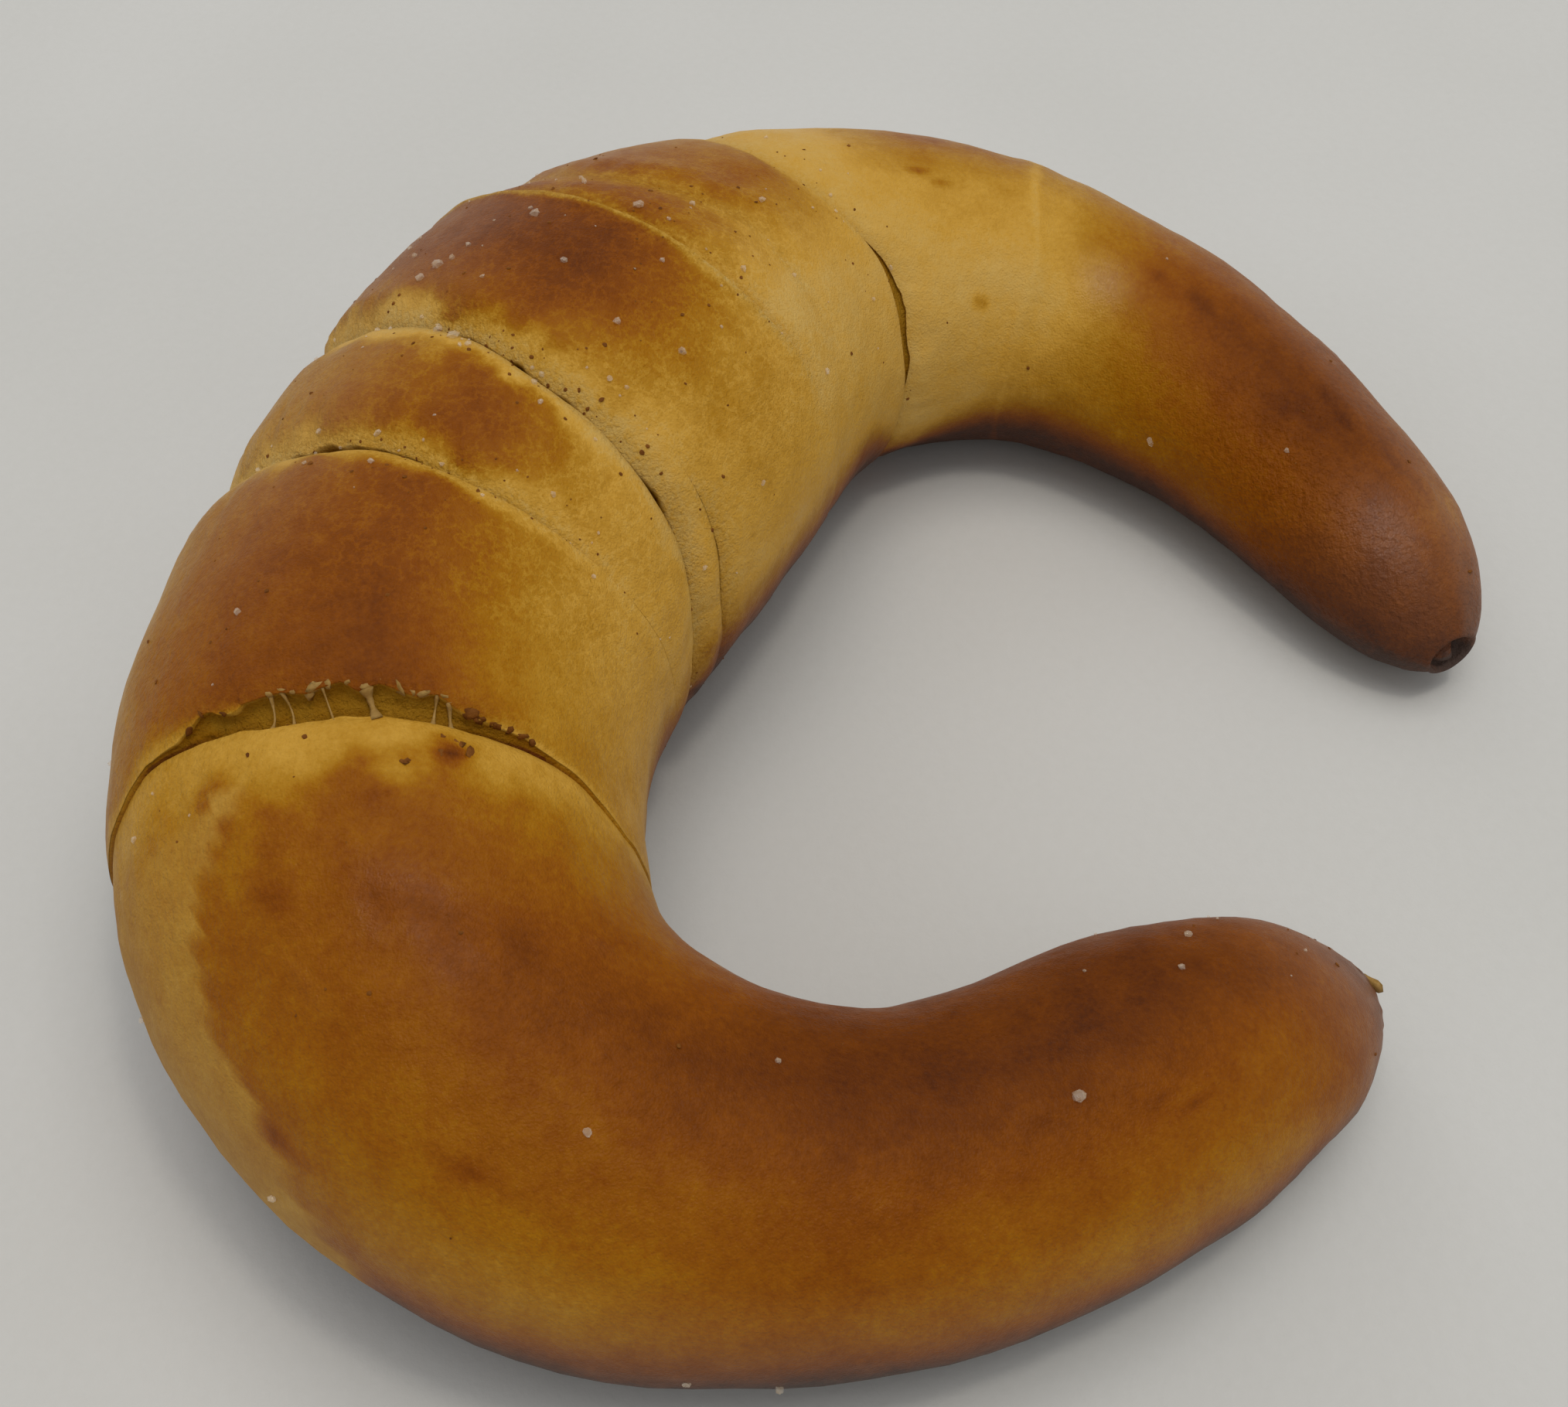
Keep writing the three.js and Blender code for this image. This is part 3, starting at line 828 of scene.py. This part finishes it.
def make_strands(form, material):
    """Sagging threads from the tear's near lip to its far one."""
    line = form["lines"][BEND_TEAR]
    turn = form["turn"][0]
    thin, more = STRAND_WAIST
    points, faces = [], []
    for around, thickness, lean in STRANDS:
        ring = np.argmin(np.abs(np.mod(turn - around + 180, 360) - 180))
        reach = (line["half"][ring] + STRAND_HOLD) / ROUTE_LENGTH
        near, out_near, _ = skin_frame(form, line["place"][ring] - reach, around)
        far, out_far, _ = skin_frame(form, line["place"][ring] + reach, around + lean)
        ahead = (far - near) / np.linalg.norm(far - near)
        outward = out_near + out_far
        outward /= np.linalg.norm(outward)
        side = np.cross(outward, ahead)
        start = len(points)
        for step in range(STRAND_STEPS):
            t = step / (STRAND_STEPS - 1)
            lowered = STRAND_HOLD + STRAND_SAG * math.sin(math.pi * t)
            centre = near + (far - near) * t - outward * lowered
            waist = thickness * (thin + more * (2 * t - 1) ** 2) * RNG.uniform(0.85, 1.15)
            for k in range(STRAND_SIDES):
                a = 2 * math.pi * k / STRAND_SIDES
                points.append(centre + waist * (side * math.cos(a) + outward * math.sin(a)))
        for step in range(STRAND_STEPS - 1):
            for k in range(STRAND_SIDES):
                a, b = start + step * STRAND_SIDES + k, start + step * STRAND_SIDES
                b += (k + 1) % STRAND_SIDES
                faces.append((a, b, b + STRAND_SIDES, a + STRAND_SIDES))
        last = start + (STRAND_STEPS - 1) * STRAND_SIDES
        faces.append(tuple(start + k for k in reversed(range(STRAND_SIDES))))
        faces.append(tuple(last + k for k in range(STRAND_SIDES)))
    piece = make_piece("dough_strands", points, faces, material)
    piece.data.shade_smooth()
    return piece


# ---- materials -------------------------------------------

CRUST_COLOURS = [   # tone, colour
    (0.00, (0.700, 0.445, 0.118)), (0.15, (0.660, 0.360, 0.050)), (0.30, (0.490, 0.235, 0.015)),
    (0.42, (0.400, 0.160, 0.003)), (0.54, (0.325, 0.103, 0.002)), (0.66, (0.255, 0.067, 0.001)),
    (0.78, (0.185, 0.045, 0.001)), (0.90, (0.130, 0.030, 0.002)), (1.00, (0.070, 0.017, 0.004)),
]
PINK_AND_SHEEN = (0.025, 0.045, 0.046)   # added where the skin looks pinkish: partly its own tint, partly a painted sheen of the sky
CRUMB_COLOURS = [   # inside the splits: tone, colour
    (0.00, (0.420, 0.205, 0.012)), (0.35, (0.300, 0.122, 0.002)), (1.00, (0.130, 0.028, 0.002)),
]
# The rest: value of the noise, colour.
DOUGH_COLOURS = [(0.3, (0.34, 0.19, 0.045)), (0.7, (0.46, 0.28, 0.09))]
SALT_COLOURS = [(0.3, (0.85, 0.66, 0.42)), (0.7, (0.95, 0.86, 0.72))]
TOASTED_COLOURS = [(0.3, (0.14, 0.042, 0.004)), (0.7, (0.27, 0.095, 0.012))]
PAPER_COLOURS = [(0.3, (0.66, 0.655, 0.625)), (0.7, (0.71, 0.705, 0.68))]
FINE_BUMP = 0.1 * MM   # depth of the relief on all but the crust


def node(tree, kind, inputs=None, **settings):
    """A shader node with its settings, and with its inputs set or linked."""
    made = tree.nodes.new(kind)
    for name, value in settings.items():
        setattr(made, name, value)
    for name, value in (inputs or {}).items():
        if isinstance(value, bpy.types.NodeSocket):
            tree.links.new(value, made.inputs[name])
        else:
            made.inputs[name].default_value = value
    return made


def maths(tree, operation, *values, clamp=False):
    made = node(tree, "ShaderNodeMath", dict(enumerate(values)), operation=operation)
    made.use_clamp = clamp
    return made.outputs[0]


def value_of(tree, name):
    return node(tree, "ShaderNodeAttribute", attribute_name=name).outputs["Fac"]


def noise(tree, size, detail=2.0, roughness=0.5):
    """Noise from 0 to 1 with features of about size millimetres."""
    inputs = {"Scale": 1 / (size * MM), "Detail": detail, "Roughness": roughness}
    inputs["Vector"] = node(tree, "ShaderNodeTexCoord").outputs["Object"]
    return node(tree, "ShaderNodeTexNoise", inputs).outputs["Fac"]


def about_zero(tree, value):
    return maths(tree, "SUBTRACT", value, 0.5)


def colour_ramp(tree, factor, stops):
    made = node(tree, "ShaderNodeValToRGB", {"Fac": factor})
    elements = made.color_ramp.elements
    while len(elements) < len(stops):
        elements.new(0.5)
    for element, (at, colour) in zip(elements, stops):
        element.position = at
        element.color = (*colour, 1)
    return made.outputs["Color"]


def mix_colour(tree, factor, first, second, blend="MIX"):
    made = node(tree, "ShaderNodeMix", {0: factor}, data_type="RGBA", blend_type=blend)
    # Inputs 6 and 7 and output 2 are the node's colours.
    for socket, value in ((made.inputs[6], first), (made.inputs[7], second)):
        if isinstance(value, bpy.types.NodeSocket):
            tree.links.new(value, socket)
        else:
            socket.default_value = (*value, 1)
    return made.outputs[2]


def new_material(name):
    material = bpy.data.materials.new(name)
    material.use_nodes = True
    return material, material.node_tree, material.node_tree.nodes["Principled BSDF"]


def add_bump(tree, shader, height, distance, strength=1.0):
    inputs = {"Height": height, "Distance": distance, "Strength": strength}
    normal = node(tree, "ShaderNodeBump", inputs).outputs["Normal"]
    tree.links.new(normal, shader.inputs["Normal"])
    return normal


def crust_material():
    material, tree, shader = new_material("baked_crust")
    tone, gloss = value_of(tree, "tone"), value_of(tree, "gloss")
    split, pink_and_sheen = value_of(tree, "split"), value_of(tree, "pink_and_sheen")

    # Browning wanders in patches, in finer mottles and in a grain, and pale fibres cross it.
    patches = about_zero(tree, noise(tree, 9, 3))
    mottles = about_zero(tree, noise(tree, 2.6, 5, 0.6))
    grain = about_zero(tree, noise(tree, 0.5, 3, 0.6))
    ridge = maths(tree, "ABSOLUTE", about_zero(tree, noise(tree, 2.2, 6, 0.66)))
    fibres = maths(tree, "SUBTRACT", 1.0, maths(tree, "MULTIPLY", ridge, 24.0), clamp=True)
    fibres = maths(tree, "MULTIPLY", fibres, value_of(tree, "veins"))
    granules = about_zero(tree, noise(tree, 0.45, 4, 0.7))
    specks = maths(tree, "MULTIPLY", granules, value_of(tree, "crumbly"))
    shades = maths(tree, "MULTIPLY", patches, 0.22)
    for part, amount in ((mottles, 0.24), (grain, 0.22), (fibres, -0.1), (specks, 0.9)):
        shades = maths(tree, "MULTIPLY_ADD", part, amount, shades)

    # Pale dough takes only about half of this.
    brown = maths(tree, "MULTIPLY", tone, 2.2, clamp=True)
    wander = maths(tree, "MULTIPLY_ADD", brown, 0.45, 0.55)
    baked = maths(tree, "MULTIPLY_ADD", shades, wander, tone, clamp=True)
    colour = colour_ramp(tree, baked, CRUST_COLOURS)
    # Add the pinkish tint, which is partly a painted sheen of the sky.
    colour = mix_colour(tree, pink_and_sheen, colour, PINK_AND_SHEEN, blend="ADD")
    crumb_tone = maths(tree, "MULTIPLY_ADD", mottles, 0.8, tone, clamp=True)
    crumb = colour_ramp(tree, crumb_tone, CRUMB_COLOURS)
    colour = mix_colour(tree, split, colour, crumb)
    tree.links.new(colour, shader.inputs["Base Color"])

    dull = maths(tree, "MULTIPLY_ADD", gloss, -0.24, 0.62)
    dull = maths(tree, "MULTIPLY_ADD", mottles, 0.25, dull)
    dull = maths(tree, "MULTIPLY_ADD", split, 0.2, dull, clamp=True)
    tree.links.new(dull, shader.inputs["Roughness"])
    shader.inputs["Specular IOR Level"].default_value = 0.06
    coat = maths(tree, "MULTIPLY_ADD", value_of(tree, "wet"), 0.9, 0.05, clamp=True)
    tree.links.new(coat, shader.inputs["Coat Weight"])
    shader.inputs["Coat Roughness"].default_value = 0.14

    # Relief: a leathery grain, finer pores, shallow dents, a rough crumb in the splits and
    # grains of crumb beside the seams.
    leather = maths(tree, "MULTIPLY", noise(tree, 0.62, 3, 0.55), value_of(tree, "leather"))
    pores = noise(tree, 0.2, 2, 0.5)
    dents = noise(tree, 2.8, 2, 0.5)
    rough = maths(tree, "MULTIPLY", noise(tree, 1.1, 5, 0.65), split)
    height = maths(tree, "MULTIPLY", leather, 0.36)
    for part, depth in ((pores, 0.12), (dents, 0.2), (rough, 0.7), (specks, 0.5)):
        height = maths(tree, "MULTIPLY_ADD", part, depth, height)
    tree.links.new(add_bump(tree, shader, height, MM), shader.inputs["Coat Normal"])
    return material


def grainy_material(name, colours, patches, bumps, roughness, specular=0.5, alpha=1.0):
    """A material with patches of colour and bumps, each of a size in millimetres."""
    material, tree, shader = new_material(name)
    colour = colour_ramp(tree, noise(tree, patches, 3), colours)
    tree.links.new(colour, shader.inputs["Base Color"])
    for socket, value in (("Roughness", roughness), ("Specular IOR Level", specular),
                          ("Alpha", alpha)):
        shader.inputs[socket].default_value = value
    add_bump(tree, shader, noise(tree, bumps, 3), FINE_BUMP)
    return material


def dough_material():
    """Unbrowned dough, torn into threads and bits."""
    return grainy_material("pale_dough", DOUGH_COLOURS, 0.8, 0.3, roughness=0.55, specular=0.12)


def salt_material():
    return grainy_material("coarse_salt", SALT_COLOURS, 0.5, 0.5, roughness=0.05, alpha=0.3)


def toasted_material():
    return grainy_material("toasted_crumb", TOASTED_COLOURS, 0.9, 0.15, roughness=0.7,
                           specular=0.15)


def paper_material():
    material, tree, shader = new_material("pale_paper")
    fibre = noise(tree, 1.2, 4, 0.6)
    cloud = noise(tree, 60, 2)
    shade = maths(tree, "MULTIPLY_ADD", fibre, 0.3, maths(tree, "MULTIPLY", cloud, 0.7))
    colour = colour_ramp(tree, shade, PAPER_COLOURS)
    tree.links.new(colour, shader.inputs["Base Color"])
    shader.inputs["Roughness"].default_value = 0.9
    add_bump(tree, shader, fibre, FINE_BUMP, strength=0.5)
    return material


# ---- stage -----------------------------------------------

def make_floor(middle):
    bpy.ops.mesh.primitive_plane_add(size=FLOOR_SIZE, location=(middle.x, middle.y, 0))
    floor = bpy.context.object
    floor.name = "floor"
    floor.data.materials.append(paper_material())


def make_light(target, name, towards, distance, size, power, colour):
    """A square soft light that faces the target from a direction."""
    data = bpy.data.lights.new(name, "AREA")
    data.shape = "SQUARE"
    data.size = size
    data.energy = power
    data.color = colour
    light = bpy.data.objects.new(name, data)
    direction = Vector(towards).normalized()
    light.location = target + direction * distance
    light.rotation_mode = "QUATERNION"
    light.rotation_quaternion = direction.to_track_quat("Z", "Y")
    bpy.context.scene.collection.objects.link(light)


def make_sky():
    world = bpy.data.worlds.new("sky")
    bpy.context.scene.world = world
    world.use_nodes = True
    background = world.node_tree.nodes["Background"]
    background.inputs["Color"].default_value = (*SKY_COLOUR, 1)
    background.inputs["Strength"].default_value = SKY_STRENGTH


def make_camera(target):
    data = bpy.data.cameras.new("camera")
    data.lens = CAMERA_LENS
    data.sensor_width = CAMERA_SENSOR
    data.clip_start, data.clip_end = 0.01, 10
    camera = bpy.data.objects.new("camera", data)
    elevation = math.radians(CAMERA_ELEVATION)
    back = Vector((-math.cos(elevation), 0, math.sin(elevation)))
    camera.location = target + back * CAMERA_DISTANCE
    camera.rotation_mode = "QUATERNION"
    camera.rotation_quaternion = back.to_track_quat("Z", "Y")
    camera.rotation_mode = "XYZ"
    camera.rotation_euler.rotate_axis("Z", math.radians(CAMERA_ROLL))
    bpy.context.scene.collection.objects.link(camera)
    bpy.context.scene.camera = camera


# ---- build -----------------------------------------------

low, high = cad_box
middle = Vector(((low.x + high.x) / 2, (low.y + high.y) / 2, low.z))
target = middle + Vector(CAMERA_TARGET)
make_camera(target)

form = build_form()
make_roll(form, crust_material())
dough = dough_material()
make_strands(form, dough)
scatter(form, "torn_bits", by_lip(form, TORN_BITS), TORN_SIZE, dough, "baked_crust", lump,
        lift=-0.9)
scatter(form, "end_flake", [END_FLAKE], FLAKE_SIZE, dough, "baked_crust", lump)
salt = salt_material()
scatter(form, "coarse_salt", SALT_PLACED, SALT_SIZE, salt, "salt", **SALT_LIE)
scatter(form, "fine_salt", strewn(SALT_STREWN), FINE_SALT_SIZE, salt, "salt", **SALT_LIE)
toasted = toasted_material()
scatter(form, "toasted_crumbs", strewn(TOASTED_STREWN), TOASTED_SIZE, toasted, "crumb")
scatter(form, "crust_bits", by_lip(form, CRACK_BITS) + CRUST_BITS + [EDGE_CRUMB], CRUST_SIZE,
        toasted, "crumb", lump, flatness=0.25, lift=-0.7)

make_floor(middle)
make_sky()
for light in LIGHTS:
    make_light(target, *light)
bpy.context.scene.view_settings.view_transform = "Standard"
